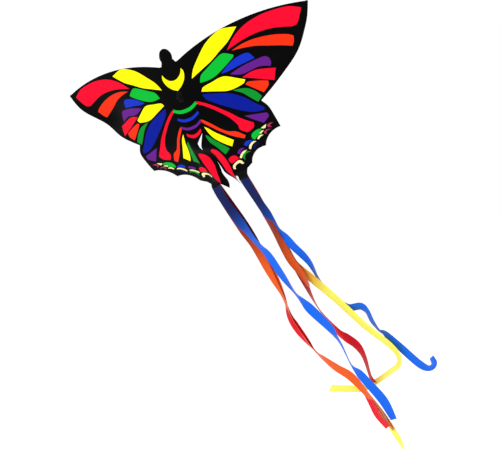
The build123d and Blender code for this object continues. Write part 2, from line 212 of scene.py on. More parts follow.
def lobe_curl(x, drop):
    """How far the hindwing lobes curl back towards the body."""
    ramp = min(max((drop - LOBE_CURL_TOP) / (LOBE_CURL_FULL - LOBE_CURL_TOP), 0), 1)
    foot = min(max((drop - LOBE_FOOT_TOP) / (LOBE_FOOT_FULL - LOBE_FOOT_TOP), 0), 1)
    start = LOBE_CURL_X + (LOBE_CURL_FOOT_X - LOBE_CURL_X) * foot * foot * (3 - 2 * foot)
    inside = start - sqrt(x * x + LOBE_MIDDLE_BLEND**2)
    if inside <= 0:
        return 0.0
    if inside < LOBE_CURL_BLEND:
        soft = inside * inside / (2 * LOBE_CURL_BLEND)
    else:
        soft = inside - LOBE_CURL_BLEND / 2
    tip = min(max((drop - LOBE_TIP_TOP) / (LOBE_TIP_FULL - LOBE_TIP_TOP), 0), 1)
    slope = LOBE_CURL * ramp * ramp * (3 - 2 * ramp) + LOBE_TIP_CURL * tip * tip * (3 - 2 * tip)
    return slope * soft


def sail_y(x, drop):
    """Middle of the cloth behind the eyelet."""
    x = abs(x)
    rake = WING_RAKE * x * x / (x + BODY_FLAT)
    aft = drop - SWEEP_START - SWEEP_BODY * exp(-((x / SWEEP_BODY_WIDE) ** 2))
    sweep = SWEEP_SLOPE * (sqrt(aft * aft + SWEEP_BLEND**2) + aft) / 2
    belly = BELLY * exp(-(((x - BELLY_X) / BELLY_WIDE) ** 2) - ((drop - BELLY_DROP) / BELLY_HIGH) ** 2)
    return SAIL_Y + rake + sweep + belly + lobe_curl(x, drop)


def batten_clearance(x, drop):
    """0 on the hindwing batten's line, 1 well away from it."""
    along = Vector((BATTEN_END[0], BATTEN_END[1] - LOWER_HUB_DROP)).normalized()
    away = abs(x) * along.y - (drop - LOWER_HUB_DROP) * along.x
    return 1 - exp(-((away / 35) ** 2))


def ripple(x, drop):
    """Small folds: a fan from the spreader's root, and flutter in the free hind cloth."""
    fan = 1.1 * sin(24 * atan2(drop - UPPER_HUB_DROP, abs(x) + 20)) * min(abs(x) / 400, 1)
    free = min(max((drop - 400) / 150, 0), 1)
    flutter = 3.0 * free * sin(abs(x) / 17 + drop / 55)
    return (fan + flutter) * batten_clearance(x, drop) * min(abs(x) / 40, 1)


def on_sail(x, drop, behind=0.0):
    return Vector((x, sail_y(x, drop) + ripple(x, drop) + behind, NECK_Z - drop))


def sail_normal(x, drop):
    """Unit normal of the cloth, pointing behind it."""
    reach = 2.0
    across = on_sail(x + reach, drop) - on_sail(x - reach, drop)
    down = on_sail(x, drop + reach) - on_sail(x, drop - reach)
    normal = across.cross(down).normalized()
    return normal if normal.y > 0 else -normal


def arc_points(start, middle, end, step=5.0):
    """Points along the circle through three flat points."""
    a, b, c = Vector(start), Vector(middle), Vector(end)
    turned = Matrix.Rotation(pi / 2, 2)
    mid_ab, mid_bc = (a + b) / 2, (b + c) / 2
    ray_ab, ray_bc = turned @ (b - a), turned @ (c - b)
    hit = intersect_line_line(
        mid_ab.to_3d(), (mid_ab + ray_ab).to_3d(), mid_bc.to_3d(), (mid_bc + ray_bc).to_3d()
    )
    centre = hit[0].to_2d()
    radius = (a - centre).length
    first = atan2(a.y - centre.y, a.x - centre.x)
    half = 2 * asin(min((b - a).length / (2 * radius), 1)) + 2 * asin(min((c - b).length / (2 * radius), 1))
    way = 1 if (b - a).cross(c - b) > 0 else -1
    count = max(int(radius * half / step), 4)
    return [
        (centre.x + radius * cos(first + way * half * i / count),
         centre.y + radius * sin(first + way * half * i / count))
        for i in range(count + 1)
    ]


def hermite(p, q, tangent_p, tangent_q, t):
    square, cube = t * t, t * t * t
    return (
        (2 * cube - 3 * square + 1) * p
        + (cube - 2 * square + t) * tangent_p
        + (3 * square - 2 * cube) * q
        + (cube - square) * tangent_q
    )


def curve_points(points, step=5.0):
    """A smooth open curve through points of any dimension."""
    knots = [Vector(p) for p in points]
    tangents = []
    for i in range(len(knots)):
        before, after = knots[max(i - 1, 0)], knots[min(i + 1, len(knots) - 1)]
        tangents.append((after - before) / 2)
    made = []
    for i in range(len(knots) - 1):
        p, q = knots[i], knots[i + 1]
        count = max(int((q - p).length / step), 1)
        made += [hermite(p, q, tangents[i], tangents[i + 1], k / count) for k in range(count)]
    return made + [knots[-1]]


def ring_points(points, step=5.0):
    """A closed outline, rounded where it bends gently and sharp at its tips."""
    knots = [Vector(p) for p in points]
    count = len(knots)
    tangents = []
    for i, knot in enumerate(knots):
        before, after = knots[i - 1], knots[(i + 1) % count]
        turn = (knot - before).angle(after - knot)
        tangents.append(Vector((0, 0)) if turn > SHARP_TURN else (after - before) / 2)
    made = []
    for i in range(count):
        p, q = knots[i], knots[(i + 1) % count]
        steps = max(int((q - p).length / step), 1)
        reach = (q - p).length
        first, last = tangents[i], tangents[(i + 1) % count]
        if first.length > reach:
            first = first.normalized() * reach
        if last.length > reach:
            last = last.normalized() * reach
        made += [hermite(p, q, first, last, k / steps) for k in range(steps)]
    return made


def line_points(start, end, step=5.0):
    return curve_points([start, end], step)


EDGE_RUNS = {
    "trailing": lambda: curve_points([(695, -43), (652, 45), (550, 155), (450, 240), (350, 303)]),
    "notch": lambda: curve_points([(350, 303), (370, 340), (370, 395), (365, 443)]),
    "outer_scallop": lambda: arc_points((365, 443), (298, 462), (255, 505)),
    "inner_scallop": lambda: arc_points((255, 505), (193, 516), (150, 560)),
}


def leading_edge():
    return arc_points((54, -2), (350, -72), (695, -43))


def sail_outline(with_slit):
    """Half the sail, from the top of the head round to the lobe's tip and back up the middle."""
    runs = [curve_points([(0, -76), (21, -67), (34, -41), (31, -18)]),
            line_points((31, -18), (41, 0)), leading_edge()]
    runs += [make() for make in EDGE_RUNS.values()]
    runs += [
        line_points((150, 560), (117, 576)),
        line_points((117, 576), (104, 592)),
        line_points((104, 592), (52, 592)),
        line_points((52, 592), (32, 640)),
        arc_points((32, 640), (7, 560), (0, 490)),
    ]
    middle = [(0, 490), (0, 425), (40, 350), (0, 388), (0, -76)] if with_slit else [(0, 490), (0, -76)]
    runs += [line_points(start, end) for start, end in zip(middle, middle[1:])]
    outline = []
    for run in runs:
        for point in run:
            point = Vector(point)
            if not outline or (point - outline[-1]).length > 0.5:
                outline.append(point)
    if (outline[0] - outline[-1]).length < 0.5:
        outline.pop()
    return outline


# ---------------------------------------------------------------- making cloth

def counter_clockwise(ring):
    area = sum(ring[i - 1].cross(ring[i]) for i in range(len(ring)))
    return ring if area > 0 else ring[::-1]


def cut_cloth(rings, spacing):
    """Triangulates flat rings. Gives points and (triangle, number of the innermost ring)."""
    points, faces = [], []
    for ring in rings:
        ring = counter_clockwise([Vector(p) for p in ring])
        faces.append(list(range(len(points), len(points) + len(ring))))
        points += ring
    near = KDTree(len(points))
    for i, point in enumerate(points):
        near.insert(point.to_3d(), i)
    near.balance()
    outer = [points[i] for i in faces[0]]
    low = Vector((min(p.x for p in outer), min(p.y for p in outer)))
    high = Vector((max(p.x for p in outer), max(p.y for p in outer)))
    for i in range(int((high.x - low.x) / spacing) + 1):
        for j in range(int((high.y - low.y) / spacing) + 1):
            shift = spacing / 2 * (j % 2)
            point = low + Vector((i * spacing + shift, j * spacing))
            if near.find(point.to_3d())[2] > spacing * 0.5:
                points.append(point)
    made, _, triangles, _, _, origins = delaunay_2d_cdt(points, [], faces, 1, 0.001)
    return made, [(t, max(o)) for t, o in zip(triangles, origins) if 0 in o]


def object_from(bm, name, materials, sharp=radians(50)):
    """Turns a bmesh in millimetres into an object in metres, smooth but for its sharp edges."""
    bmesh.ops.scale(bm, vec=(MM, MM, MM), verts=bm.verts)
    for face in bm.faces:
        face.smooth = True
    for edge in bm.edges:
        edge.smooth = len(edge.link_faces) != 2 or edge.calc_face_angle(0) < sharp
    mesh = bpy.data.meshes.new(name)
    bm.to_mesh(mesh)
    bm.free()
    for material in materials:
        mesh.materials.append(material)
    made = bpy.data.objects.new(name, mesh)
    bpy.context.scene.collection.objects.link(made)
    return made


def thicken(bm, thickness):
    """Gives a sheet both its faces, with its middle where the sheet was."""
    bmesh.ops.recalc_face_normals(bm, faces=bm.faces)
    bm.normal_update()
    for vert in bm.verts:
        vert.co -= vert.normal * thickness / 2
    bmesh.ops.solidify(bm, geom=bm.faces[:], thickness=-thickness)
    bmesh.ops.recalc_face_normals(bm, faces=bm.faces)


def cloth_from_rings(name, rings, place, materials, spacing=13.0, thickness=0.4, inks=None, holes=()):
    """A thin cloth piece cut from flat rings. The first is its outline, the rest are prints or holes."""
    points, triangles = cut_cloth(rings, spacing)
    bm = bmesh.new()
    uv = bm.loops.layers.uv.new("Cloth")
    verts = [bm.verts.new(place(p.x, p.y)) for p in points]
    for corners, ring in triangles:
        if ring in holes:
            continue
        face = bm.faces.new([verts[i] for i in corners])
        face.material_index = inks[ring] if inks else 0
        for loop, i in zip(face.loops, corners):
            loop[uv].uv = (points[i].x * MM, points[i].y * MM)
    loose = [v for v in bm.verts if not v.link_faces]
    bmesh.ops.delete(bm, geom=loose, context="VERTS")
    thicken(bm, thickness)
    return object_from(bm, name, materials)


def strip(name, rows, material, thickness=0.4):
    """A thin cloth piece from rows of points, one row at each step along it."""
    bm = bmesh.new()
    uv = bm.loops.layers.uv.new("Cloth")
    grid = [[bm.verts.new(p) for p in row] for row in rows]
    along = [0.0]
    for i in range(1, len(rows)):
        along.append(along[-1] + (rows[i][0] - rows[i - 1][0]).length)
    across = [0.0]
    for j in range(1, len(rows[0])):
        across.append(across[-1] + (rows[0][j] - rows[0][j - 1]).length)
    for i in range(len(rows) - 1):
        for j in range(len(rows[0]) - 1):
            corners = [(i, j), (i + 1, j), (i + 1, j + 1), (i, j + 1)]
            face = bm.faces.new([grid[a][b] for a, b in corners])
            for loop, (a, b) in zip(face.loops, corners):
                loop[uv].uv = (across[b] * MM, along[a] * MM)
    thicken(bm, thickness)
    return object_from(bm, name, [material])


def add_stitches(bm, path, lifts, pitch=4.0, length=2.6, radius=0.28):
    """Thread stitches along a path of points. lifts gives the outward normal at each."""
    carried = 0.0
    for i in range(len(path) - 1):
        start, end = path[i], path[i + 1]
        run = (end - start).length
        while carried < run:
            centre = start.lerp(end, carried / run)
            along = (end - start).normalized()
            lift = lifts[i]
            side = along.cross(lift).normalized()
            turn = Matrix((along, side, along.cross(side))).transposed().to_4x4()
            size = Matrix.Diagonal((length / 2, radius, radius, 1))
            place = Matrix.Translation(centre) @ turn @ size
            bmesh.ops.create_icosphere(bm, subdivisions=1, radius=1, matrix=place)
            carried += pitch
        carried -= run


def stitches(name, paths, material):
    bm = bmesh.new()
    for path, lifts in paths:
        add_stitches(bm, path, lifts)
    return object_from(bm, name, [material])


# ---------------------------------------------------------------- materials

def new_group(name, inputs, outputs):
    """An empty node group with these sockets, each (name, kind, default)."""
    group = bpy.data.node_groups.new(name, "ShaderNodeTree")
    for label, kind, default in inputs:
        socket = group.interface.new_socket(name=label, in_out="INPUT", socket_type=kind)
        if default is not None:
            socket.default_value = default
    for label, kind in outputs:
        group.interface.new_socket(name=label, in_out="OUTPUT", socket_type=kind)
    return group, group.nodes.new("NodeGroupInput"), group.nodes.new("NodeGroupOutput")


def math_node(group, operation, first, second):
    node = group.nodes.new("ShaderNodeMath")
    node.operation = operation
    for socket, value in zip(node.inputs, (first, second)):
        if isinstance(value, (int, float)):
            socket.default_value = value
        else:
            group.links.new(value, socket)
    return node.outputs[0]


def weave_group():
    """Plain weave in the cloth's own UV metres: thread height, uneven dye and gloss, with painted shade in
    the weave's low places and painted light on the thread tops.
    """
    group, given, made = new_group(
        "Plain weave",
        [
            ("UV", "NodeSocketVector", None),
            ("Colour", "NodeSocketColor", (0.5, 0.5, 0.5, 1)),
            ("Threads", "NodeSocketFloat", 700.0),
            ("Dye variation", "NodeSocketFloat", 0.12),
            ("Roughness", "NodeSocketFloat", 0.45),
        ],
        [("Colour", "NodeSocketColor"), ("Roughness", "NodeSocketFloat"), ("Height", "NodeSocketFloat")],
    )
    links = group.links
    heights = []
    for direction in ("X", "Y"):
        wave = group.nodes.new("ShaderNodeTexWave")
        wave.bands_direction = direction
        wave.inputs["Distortion"].default_value = 0.6
        wave.inputs["Detail"].default_value = 1.0
        links.new(given.outputs["UV"], wave.inputs["Vector"])
        links.new(given.outputs["Threads"], wave.inputs["Scale"])
        heights.append(wave.outputs["Fac"])
    height = math_node(group, "MULTIPLY", heights[0], heights[1])
    links.new(height, made.inputs["Height"])

    cloudy = group.nodes.new("ShaderNodeTexNoise")
    cloudy.inputs["Scale"].default_value = 9.0
    cloudy.inputs["Detail"].default_value = 5.0
    links.new(given.outputs["UV"], cloudy.inputs["Vector"])
    centred = math_node(group, "SUBTRACT", cloudy.outputs["Fac"], 0.5)
    uneven = math_node(group, "MULTIPLY", centred, given.outputs["Dye variation"])
    # Painted shade and light: the colour is darker where the weave is low and lighter on the raised threads
    threads = math_node(group, "MULTIPLY", math_node(group, "SUBTRACT", height, 0.25), 0.10)
    value = math_node(group, "ADD", math_node(group, "ADD", uneven, threads), 1.0)
    shade = group.nodes.new("ShaderNodeHueSaturation")
    links.new(given.outputs["Colour"], shade.inputs["Color"])
    links.new(value, shade.inputs["Value"])
    links.new(shade.outputs["Color"], made.inputs["Colour"])
    gloss = math_node(group, "ADD", given.outputs["Roughness"], math_node(group, "MULTIPLY", centred, 0.25))
    links.new(gloss, made.inputs["Roughness"])
    return group


def grain_group():
    """Fine grain and handling marks on rods and mouldings, in object metres."""
    group, given, made = new_group(
        "Moulded grain",
        [
            ("Colour", "NodeSocketColor", (0.03, 0.03, 0.03, 1)),
            ("Wear colour", "NodeSocketColor", (0.2, 0.2, 0.2, 1)),
            ("Grain", "NodeSocketFloat", 900.0),
            ("Stretch", "NodeSocketFloat", 1.0),
            ("Roughness", "NodeSocketFloat", 0.4),
        ],
        [("Colour", "NodeSocketColor"), ("Roughness", "NodeSocketFloat"), ("Height", "NodeSocketFloat")],
    )
    links = group.links
    place = group.nodes.new("ShaderNodeTexCoord")
    squeeze = group.nodes.new("ShaderNodeCombineXYZ")
    squeeze.inputs["Y"].default_value = 1.0
    squeeze.inputs["Z"].default_value = 1.0
    links.new(given.outputs["Stretch"], squeeze.inputs["X"])
    product = group.nodes.new("ShaderNodeVectorMath")
    product.operation = "MULTIPLY"
    links.new(place.outputs["Object"], product.inputs[0])
    links.new(squeeze.outputs["Vector"], product.inputs[1])
    fine = group.nodes.new("ShaderNodeTexNoise")
    fine.inputs["Detail"].default_value = 3.0
    links.new(product.outputs["Vector"], fine.inputs["Vector"])
    links.new(given.outputs["Grain"], fine.inputs["Scale"])
    links.new(fine.outputs["Fac"], made.inputs["Height"])
    marks = group.nodes.new("ShaderNodeTexNoise")
    marks.inputs["Scale"].default_value = 60.0
    marks.inputs["Detail"].default_value = 6.0
    links.new(place.outputs["Object"], marks.inputs["Vector"])
    worn = group.nodes.new("ShaderNodeMapRange")
    worn.inputs["From Min"].default_value = 0.58
    worn.inputs["From Max"].default_value = 0.75
    worn.inputs["To Max"].default_value = 0.35
    links.new(marks.outputs["Fac"], worn.inputs["Value"])
    mix = group.nodes.new("ShaderNodeMix")
    mix.data_type = "RGBA"
    links.new(worn.outputs["Result"], mix.inputs["Factor"])
    links.new(given.outputs["Colour"], mix.inputs[6])
    links.new(given.outputs["Wear colour"], mix.inputs[7])
    links.new(mix.outputs[2], made.inputs["Colour"])
    rougher = math_node(group, "ADD", given.outputs["Roughness"], worn.outputs["Result"])
    links.new(rougher, made.inputs["Roughness"])
    return group


def painted_stack_shade_group():
    """Painted shade on the ribbons: their colour is darker near the header, where they hang in a thick stack
    and less light comes through, than where they are free.
    """
    group, given, made = new_group(
        "Painted stack shade",
        [
            ("UV", "NodeSocketVector", None),
            ("Free colour", "NodeSocketColor", (0.5, 0.5, 0.5, 1)),
            ("Painted shade colour", "NodeSocketColor", (0.1, 0.1, 0.1, 1)),
            ("Opens from", "NodeSocketFloat", 0.12),
            ("Free from", "NodeSocketFloat", 0.4),
        ],
        [("Colour", "NodeSocketColor")],
    )
    links = group.links
    split = group.nodes.new("ShaderNodeSeparateXYZ")
    links.new(given.outputs["UV"], split.inputs["Vector"])
    opening = group.nodes.new("ShaderNodeMapRange")
    opening.interpolation_type = "SMOOTHSTEP"
    links.new(split.outputs["Y"], opening.inputs["Value"])
    links.new(given.outputs["Opens from"], opening.inputs["From Min"])
    links.new(given.outputs["Free from"], opening.inputs["From Max"])
    # Painted shade: the darker painted colour at the header fades into the cloth's own colour further down
    mix = group.nodes.new("ShaderNodeMix")
    mix.data_type = "RGBA"
    links.new(opening.outputs["Result"], mix.inputs["Factor"])
    links.new(given.outputs["Painted shade colour"], mix.inputs[6])
    links.new(given.outputs["Free colour"], mix.inputs[7])
    links.new(mix.outputs[2], made.inputs["Colour"])
    return group


def shared_group(name, make):
    return bpy.data.node_groups.get(name) or make()


def base_material(name, group, bump, specular):
    """A material whose Principled shader takes colour, roughness and bump from a group."""
    material = bpy.data.materials.new(name)
    material.use_nodes = True
    nodes, links = material.node_tree.nodes, material.node_tree.links
    shader = nodes["Principled BSDF"]
    shader.inputs["Specular IOR Level"].default_value = specular
    effect = nodes.new("ShaderNodeGroup")
    effect.node_tree = group
    relief = nodes.new("ShaderNodeBump")
    relief.inputs["Strength"].default_value = 0.5
    relief.inputs["Distance"].default_value = bump
    links.new(effect.outputs["Height"], relief.inputs["Height"])
    links.new(relief.outputs["Normal"], shader.inputs["Normal"])
    links.new(effect.outputs["Colour"], shader.inputs["Base Color"])
    links.new(effect.outputs["Roughness"], shader.inputs["Roughness"])
    return material, shader, effect, nodes, links


def cloth_material(name, colour, roughness=0.45, threads=700.0, sheen=0.0, specular=0.03):
    group = shared_group("Plain weave", weave_group)
    material, shader, effect, nodes, links = base_material(name, group, 0.00006, specular)
    place = nodes.new("ShaderNodeUVMap")
    place.uv_map = "Cloth"
    links.new(place.outputs["UV"], effect.inputs["UV"])
    effect.inputs["Colour"].default_value = (*colour, 1)
    effect.inputs["Threads"].default_value = threads
    effect.inputs["Roughness"].default_value = roughness
    shader.inputs["Sheen Weight"].default_value = sheen
    return material


def ribbon_material(name, colour, painted_shade, opens_from=0.12, free_from=0.4):
    """Ribbon cloth with painted shade near the header, where the ribbons are stacked. The two lengths are
    metres from the header.
    """
    material = cloth_material(name, colour, roughness=0.4, sheen=0.05, specular=0.08)
    nodes, links = material.node_tree.nodes, material.node_tree.links
    painted_shade_node = nodes.new("ShaderNodeGroup")
    painted_shade_node.node_tree = shared_group("Painted stack shade", painted_stack_shade_group)
    painted_shade_node.inputs["Free colour"].default_value = (*colour, 1)
    painted_shade_node.inputs["Painted shade colour"].default_value = (*painted_shade, 1)
    painted_shade_node.inputs["Opens from"].default_value = opens_from
    painted_shade_node.inputs["Free from"].default_value = free_from
    place = next(node for node in nodes if node.bl_idname == "ShaderNodeUVMap")
    weave = next(node for node in nodes if "UV" in node.inputs and node.name != painted_shade_node.name)
    links.new(place.outputs["UV"], painted_shade_node.inputs["UV"])
    links.new(painted_shade_node.outputs["Colour"], weave.inputs["Colour"])
    return material


def solid_material(name, colour, wear, roughness, grain, stretch=1.0, metallic=0.0):
    group = shared_group("Moulded grain", grain_group)
    material, shader, effect, _, _ = base_material(name, group, 0.00003, 0.5)
    effect.inputs["Colour"].default_value = (*colour, 1)
    effect.inputs["Wear colour"].default_value = (*wear, 1)
    effect.inputs["Roughness"].default_value = roughness
    effect.inputs["Grain"].default_value = grain
    effect.inputs["Stretch"].default_value = stretch
    shader.inputs["Metallic"].default_value = metallic
    return material


def finish_material(key):
    """The named finish, made the first time it is asked for."""
    found = bpy.data.materials.get(key)
    if found:
        return found
    settings = bpy.context.scene.kite_ribbons
    makers = {
        "tape": lambda: cloth_material(key, srgb(12, 12, 13), roughness=0.6, threads=420, sheen=0.04),
        "thread": lambda: solid_material(key, srgb(34, 34, 36), srgb(70, 70, 72), 0.7, 2500),
        "rod": lambda: solid_material(key, srgb(34, 34, 36), srgb(92, 90, 84), 0.34, 1400, 0.05),
        "vinyl": lambda: solid_material(key, srgb(24, 24, 25), srgb(66, 66, 68), 0.48, 1100),
        "nickel": lambda: solid_material(key, srgb(62, 62, 64), srgb(96, 94, 90), 0.38, 1600, 1.0, 1.0),
        # Each ribbon's second colour is painted shade for its stacked cloth near the header
        "blue_ribbon_cloth": lambda: ribbon_material(key, settings.blue, srgb(12, 26, 82)),
        "orange_ribbon_cloth": lambda: ribbon_material(key, settings.orange, srgb(140, 44, 22), 0.25, 0.5),
        "red_ribbon_cloth": lambda: ribbon_material(key, settings.red, srgb(96, 8, 18), 0.2, 0.9),
        "yellow_ribbon_cloth": lambda: ribbon_material(key, settings.yellow, srgb(214, 128, 34), 0.52, 0.72),
    }
    return makers[key]()


# ---------------------------------------------------------------- settings

class KITE_PG_sail(bpy.types.PropertyGroup):
    """Cloth of the sail."""
    thickness: bpy.props.FloatProperty(
        name="Cloth thickness", description="Drawn thickness of the sail cloth, in millimetres",
        default=0.4, min=0.1, max=1.0)
    spacing: bpy.props.FloatProperty(
        name="Mesh spacing", description="Distance between mesh points on the sail, in millimetres",
        default=13.0, min=5.0, max=40.0)
    hem: bpy.props.FloatProperty(
        name="Hem width", description="Width of the hem sewn along the free edges, in millimetres",
        default=11.0, min=10.0, max=20.0)


class KITE_PG_ribbons(bpy.types.PropertyGroup):
    """Tail ribbons."""
    width: bpy.props.FloatProperty(
        name="Width", description="Width of a ribbon, in millimetres", default=50.0, min=10.0, max=100.0)
    cup: bpy.props.FloatProperty(
        name="Cup", description="How far a ribbon's middle bows out of flat, in millimetres",
        default=2.2, min=0.0, max=8.0)
    blue: bpy.props.FloatVectorProperty(
        name="Blue", description="Colour of the blue ribbons", subtype="COLOR", size=3,
        default=srgb(18, 98, 222))
    orange: bpy.props.FloatVectorProperty(
        name="Orange", description="Colour of the orange ribbons", subtype="COLOR", size=3,
        default=srgb(224, 88, 28))
    red: bpy.props.FloatVectorProperty(
        name="Red", description="Colour of the red ribbons", subtype="COLOR", size=3,
        default=srgb(218, 14, 34))
    yellow: bpy.props.FloatVectorProperty(
        name="Yellow", description="Colour of the yellow ribbons", subtype="COLOR", size=3,
        default=srgb(244, 238, 96))


class KITE_PG_stage(bpy.types.PropertyGroup):
    """Camera and studio light."""
    azimuth: bpy.props.FloatProperty(
        name="Azimuth", description="Camera's angle round the kite", subtype="ANGLE", default=radians(30))
    elevation: bpy.props.FloatProperty(
        name="Elevation", description="Camera's angle above level", subtype="ANGLE", default=radians(4.3))
    roll: bpy.props.FloatProperty(
        name="Roll", description="Camera's turn about its own line of sight", subtype="ANGLE",
        default=radians(-20.3))
    lens: bpy.props.FloatProperty(
        name="Lens", description="Focal length in millimetres", default=108.0, min=20.0, max=300.0)
    floor_gap: bpy.props.FloatProperty(
        name="Floor gap", description="How far the floor is below the kite, in metres", unit="LENGTH",
        default=0.25, min=0.0, max=2.0)


# ---------------------------------------------------------------- pieces

class KITE_OT_stage(bpy.types.Operator):
    """Floor, soft light and camera."""
    bl_idname = "kite.stage"
    bl_label = "Stage"

    def execute(self, context):
        settings = context.scene.kite_stage
        bm = bmesh.new()
        bmesh.ops.create_grid(bm, x_segments=1, y_segments=1, size=400)
        low = CAD_BOX[0][2] - settings.floor_gap
        bmesh.ops.translate(bm, verts=bm.verts, vec=(0, 0, low))
        mesh = bpy.data.meshes.new("floor")
        bm.to_mesh(mesh)
        bm.free()
        floor = bpy.data.objects.new("floor", mesh)
        context.scene.collection.objects.link(floor)
        pale = bpy.data.materials.new("pale_floor")
        pale.use_nodes = True
        pale.node_tree.nodes["Principled BSDF"].inputs["Base Color"].default_value = (0.98, 0.98, 0.98, 1)
        pale.node_tree.nodes["Principled BSDF"].inputs["Roughness"].default_value = 0.9
        pale.node_tree.nodes["Principled BSDF"].inputs["Specular IOR Level"].default_value = 0.0
        mesh.materials.append(pale)

        world = bpy.data.worlds.new("Studio")
        world.use_nodes = True
        world.node_tree.nodes["Background"].inputs["Color"].default_value = (1, 1, 1, 1)
        world.node_tree.nodes["Background"].inputs["Strength"].default_value = 1.03
        context.scene.world = world
        context.scene.view_settings.view_transform = "Standard"
        self.add_light(context, "key", (-2.2, -4.2, 2.6), 2.4, 62)
        self.add_light(context, "fill", (3.4, -3.0, 0.6), 2.6, 28)
        self.add_light(context, "rim", (0.5, 3.6, 2.2), 2.4, 40)
        self.add_camera(context, settings)
        return {"FINISHED"}

    def add_light(self, context, name, place, size, power):
        lamp = bpy.data.lights.new(name, "AREA")
        lamp.shape = "DISK"
        lamp.size = size
        lamp.energy = power
        made = bpy.data.objects.new(name, lamp)
        made.location = place
        aim = Vector((0, 0.1, -0.5)) - Vector(place)
        made.rotation_euler = aim.to_track_quat("-Z", "Y").to_euler()
        context.scene.collection.objects.link(made)

    def add_camera(self, context, settings):
        """Looks at the kite from front right, tilted so that the kite flies to the upper left."""
        a, e, roll = settings.azimuth, settings.elevation, settings.roll
        right = Vector((cos(a), sin(a), 0))
        back = Vector((sin(a) * cos(e), -cos(a) * cos(e), sin(e)))
        up = back.cross(right)
        across = right * cos(roll) + up * sin(roll)
        above = up * cos(roll) - right * sin(roll)
        aim = Vector((0, SAIL_Y, NECK_Z)) * MM
        place = aim + across * 0.3772 - above * 0.7383 + back * 6.9
        data = bpy.data.cameras.new("camera")
        data.lens = settings.lens
        data.clip_end = 1200
        made = bpy.data.objects.new("camera", data)
        turned = Matrix((across, above, back)).transposed().to_4x4()
        made.matrix_world = Matrix.Translation(place) @ turned
        context.scene.collection.objects.link(made)
        context.scene.camera = made


class KITE_OT_sail(bpy.types.Operator):
    """Both halves of the printed sail."""
    bl_idname = "kite.sail"
    bl_label = "Sail"

    def execute(self, context):
        settings = context.scene.kite_sail
        materials = [
            cloth_material(f"print_{name}", srgb(*colour), roughness=0.4)
            for name, colour in zip(PRINT_NAMES, PRINT_COLOURS)
        ]
        cells = list(WING_CELLS.values()) + list(BODY_CELLS.values())
        prints = [ring_points(outline) for _, outline in cells]
        inks = [BLACK] + [ink for ink, _ in cells]
        for side, sign in SIDES.items():
            rings = [sail_outline(side == "right")] + prints
            made = cloth_from_rings(
                f"{side}_sail", rings, lambda x, drop: on_sail(x * sign, drop), materials,
                settings.spacing, settings.thickness, inks)
            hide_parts(f"{side}_wing_sail", "body_panel")
            on_body(made)
        return {"FINISHED"}

    def flat_area(self, outline):
        """Square metres of the cut, larger than its front view because the cloth slopes."""
        front = abs(sum(outline[i - 1].cross(outline[i]) for i in range(len(outline)))) / 2
        slope_allowance = 1.08
        return front * slope_allowance * MM * MM


class KITE_OT_hems(bpy.types.Operator):
    """Hems along the free edges, with their stitching."""
    bl_idname = "kite.hems"
    bl_label = "Hems"

    def execute(self, context):
        hem = context.scene.kite_sail.hem
        for side, sign in SIDES.items():
            for run, make in EDGE_RUNS.items():
                self.add_hem(f"{side}_{run}_hem", side, sign, [Vector(p) for p in make()], hem)
        return {"FINISHED"}

    def add_hem(self, name, side, sign, path, width):
        rows, seam, lifts = [], [], []
        for i, point in enumerate(path):
            ahead = (path[min(i + 1, len(path) - 1)] - path[max(i - 1, 0)]).normalized()
            inward = Vector((-ahead.y, ahead.x))
            if inward.dot(Vector((200, 200)) - point) < 0:
                inward = -inward
            row = []
            for share in (0.04, 0.35, 0.68, 1.0):
                flat = point + inward * width * share
                normal = sail_normal(flat.x * sign, flat.y)
                row.append(on_sail(flat.x * sign, flat.y) + normal * 0.55)
            rows.append(row)
            flat = point + inward * width * 0.75
            normal = sail_normal(flat.x * sign, flat.y)
            seam.append(on_sail(flat.x * sign, flat.y) + normal * 0.85)
            lifts.append(normal)
        made = strip(name, rows, finish_material("tape"), thickness=0.3)
        thread = stitches(f"{name}_stitches", [(seam, lifts)], finish_material("thread"))
        for piece in (made, thread):
            on_body(piece)


def edge_arc():
    """Middle line of the leading-edge rod, as flat points."""
    return [Vector(p) for p in arc_points((72, 1), (350, -66), (684, -39))]


def fold_section(path, sign, section):
    """Rows of a folded channel along a flat path. section is (inward, behind) from the rod's line."""
    rows = []
    for i, point in enumerate(path):
        ahead = (path[min(i + 1, len(path) - 1)] - path[max(i - 1, 0)]).normalized()
        inward = Vector((-ahead.y, ahead.x))
        inward = inward if inward.y > 0 else -inward
        row = []
        for across, behind in section:
            flat = point + inward * across
            normal = sail_normal(flat.x * sign, flat.y)
            row.append(on_sail(flat.x * sign, flat.y) + normal * behind)
        rows.append(row)
    return rows


def on_body(piece):
    """Bakes the piece's placement into its mesh."""
    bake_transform(piece)


class KITE_OT_edge_sleeves(bpy.types.Operator):
    """The cloth channels that the leading-edge rods run in."""
    bl_idname = "kite.edge_sleeves"
    bl_label = "Leading-edge sleeves"

    def execute(self, context):
        round_rod = [(3.6 * cos(t), EDGE_ROD_BACK + 3.4 * sin(t)) for t in
                     [radians(a) for a in (180, 150, 120, 90, 60, 30, 5)]]
        section = [(-5.4, 0.6), (-5.0, 2.6)] + round_rod + [(6.5, 2.2), (10, 0.8), (18, 0.6)]
        path = edge_arc()
        window = 30.0
        length = path_length(path)
        end_gap = 14
        stretches = {
            "inner": (end_gap / length, 0.5 - window / length),
            "outer": (0.5 + window / length, 1 - end_gap / length),
        }
        for side, sign in SIDES.items():
            for part, (low, high) in stretches.items():
                run = path[int(low * len(path)):int(high * len(path))]
                rows = fold_section(run, sign, section)
                made = strip(f"{side}_{part}_edge_sleeve", rows, finish_material("tape"), 0.35)
                seam = [(row[-2].lerp(row[-1], 0.5)) for row in rows]
                normals = [sail_normal(p.x * sign, p.y) for p in run]
                raised = [point + normal * 0.35 for point, normal in zip(seam, normals)]
                thread = stitches(f"{made.name}_stitches", [(raised, normals)], finish_material("thread"))
                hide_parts(f"{side}_leading_edge_sleeve")
                for piece in (made, thread):
                    on_body(piece)
        return {"FINISHED"}


